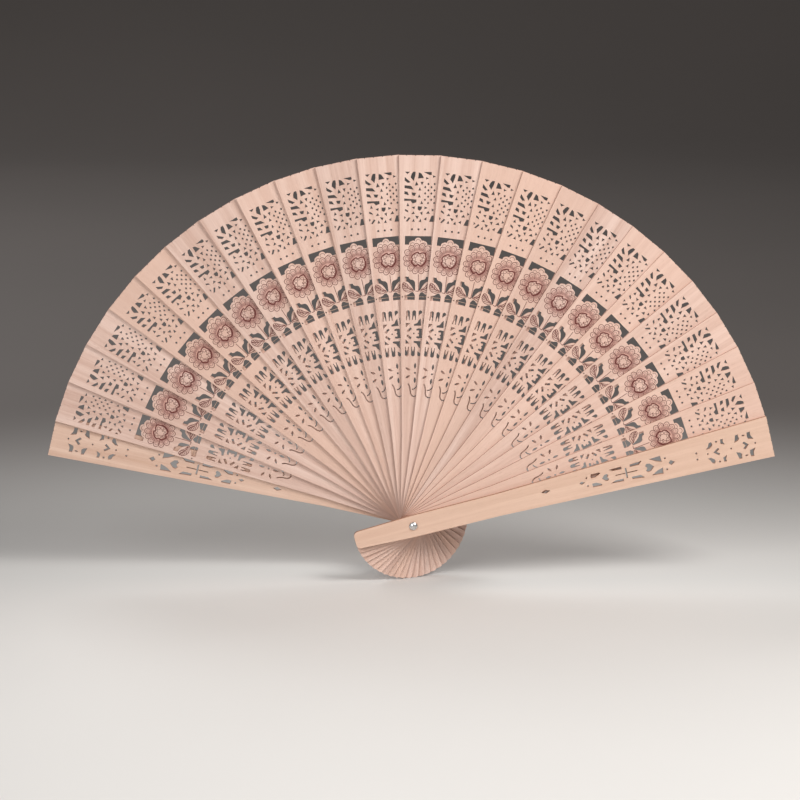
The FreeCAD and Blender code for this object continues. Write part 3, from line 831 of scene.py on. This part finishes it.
FLOOR_FRONT = -6.0
WALL_DEPTH = 2.4
WALL_HEIGHT = 3.0
WALL_HALF_WIDTH = 4.0
SWEEP = 0.8
SWEEP_STEPS = 16
# The backdrop's painted pool of light: its centre, and the distances in metres over which it fades into painted
# dark grey shade.
PAINTED_POOL_CENTRE = (0.0, -0.25, 0.0)
PAINTED_POOL_REACH = 0.15
PAINTED_SHADE_REACH = 0.70

LIGHT_TARGET = (0.0, 0.0, 0.08)


def backdrop_material():
    """Plain paper with a painted pool of light, pale round and before the fan, and painted shade, dark grey away
    from it and on the wall.
    """
    graph = Graph("backdrop_paper_painted_pool")
    place = graph.node("ShaderNodeTexCoord").outputs["Object"]
    mottle = graph.noise(graph.stretched(place, (3.0, 3.0, 3.0)), 4.0, 0.5)
    pale = graph.mix(mottle, linear(214, 212, 209), linear(206, 204, 201))
    grey = graph.mix(mottle, linear(88, 82, 79), linear(82, 77, 74))
    ends = {0: place, 1: PAINTED_POOL_CENTRE}
    distance = graph.node("ShaderNodeVectorMath", ends, operation="DISTANCE").outputs["Value"]
    # Painted light and shade: the pale pool round the fan fades into dark grey further away.
    colour = graph.mix(graph.ramp(distance, PAINTED_POOL_REACH, PAINTED_SHADE_REACH), pale, grey)
    graph.put(colour, graph.shader.inputs["Base Color"])
    graph.shader.inputs["Roughness"].default_value = 0.8
    return graph.material


def make_backdrop(floor_height):
    """A floor that sweeps up into a plain wall behind the fan."""
    floor_back = WALL_DEPTH - SWEEP
    profile = [(FLOOR_FRONT, 0.0), (floor_back, 0.0)]
    for i in range(1, SWEEP_STEPS + 1):
        a = math.pi / 2 * i / SWEEP_STEPS
        profile.append((floor_back + SWEEP * math.sin(a), SWEEP - SWEEP * math.cos(a)))
    profile.append((WALL_DEPTH, WALL_HEIGHT))
    mesh = bmesh.new()
    rows = []
    for y, z in profile:
        edge = [(x, y, floor_height + z) for x in (-WALL_HALF_WIDTH, WALL_HALF_WIDTH)]
        rows.append([mesh.verts.new(corner) for corner in edge])
    for a, b in zip(rows, rows[1:]):
        face = mesh.faces.new((a[0], a[1], b[1], b[0]))
        face.smooth = True
    data = bpy.data.meshes.new("backdrop")
    mesh.to_mesh(data)
    mesh.free()
    data.materials.append(backdrop_material())
    backdrop = bpy.data.objects.new("backdrop", data)
    bpy.context.scene.collection.objects.link(backdrop)


def softbox(name, place, size, power, colour=(1, 1, 1)):
    """A square area light at place that faces the fan."""
    data = bpy.data.lights.new(name, "AREA")
    data.shape = "SQUARE"
    data.size = size
    data.energy = power
    data.color = colour
    light = bpy.data.objects.new(name, data)
    light.location = place
    light.rotation_mode = "QUATERNION"
    light.rotation_quaternion = (Vector(LIGHT_TARGET) - Vector(place)).to_track_quat("-Z", "Y")
    bpy.context.scene.collection.objects.link(light)


def make_lights():
    """A key light from the upper right, a wide fill from the left, one behind, and a soft sky."""
    softbox("key_light", (0.55, -0.52, 0.78), size=0.4, power=9.0, colour=(1.0, 0.98, 0.96))
    softbox("fill_light", (-0.8, -1.4, 1.0), size=1.0, power=13.5, colour=(1.0, 0.98, 0.97))
    softbox("back_light", (-0.6, 1.2, 1.2), size=1.0, power=14.0)
    world = bpy.data.worlds.new("studio")
    world.use_nodes = True
    background = world.node_tree.nodes["Background"]
    background.inputs["Color"].default_value = (1.0, 0.98, 0.97, 1.0)
    background.inputs["Strength"].default_value = 0.25
    bpy.context.scene.world = world


def make_camera():
    """The camera, placed by its angles and its distance from the target."""
    data = bpy.data.cameras.new("camera")
    data.lens = VIEW_LENS
    data.sensor_width = 36.0
    data.clip_start = 0.01
    data.clip_end = 50.0
    camera = bpy.data.objects.new("camera", data)
    a = math.radians(VIEW_AZIMUTH)
    e = math.radians(VIEW_ELEVATION)
    back = Vector((math.sin(a) * math.cos(e), -math.cos(a) * math.cos(e), math.sin(e)))
    camera.location = Vector(VIEW_TARGET) + back * VIEW_DISTANCE
    camera.rotation_mode = "QUATERNION"
    camera.rotation_quaternion = (-back).to_track_quat("-Z", "Y")
    bpy.context.scene.collection.objects.link(camera)
    bpy.context.scene.camera = camera


fan_sticks = all_sticks()
dress_sticks(fan_sticks)
print_flowers(fan_sticks)
twist_threads(fan_sticks)
build_rivet()
make_backdrop(cad_box[0].z)
make_lights()
make_camera()
bpy.context.scene.view_settings.view_transform = "Standard"
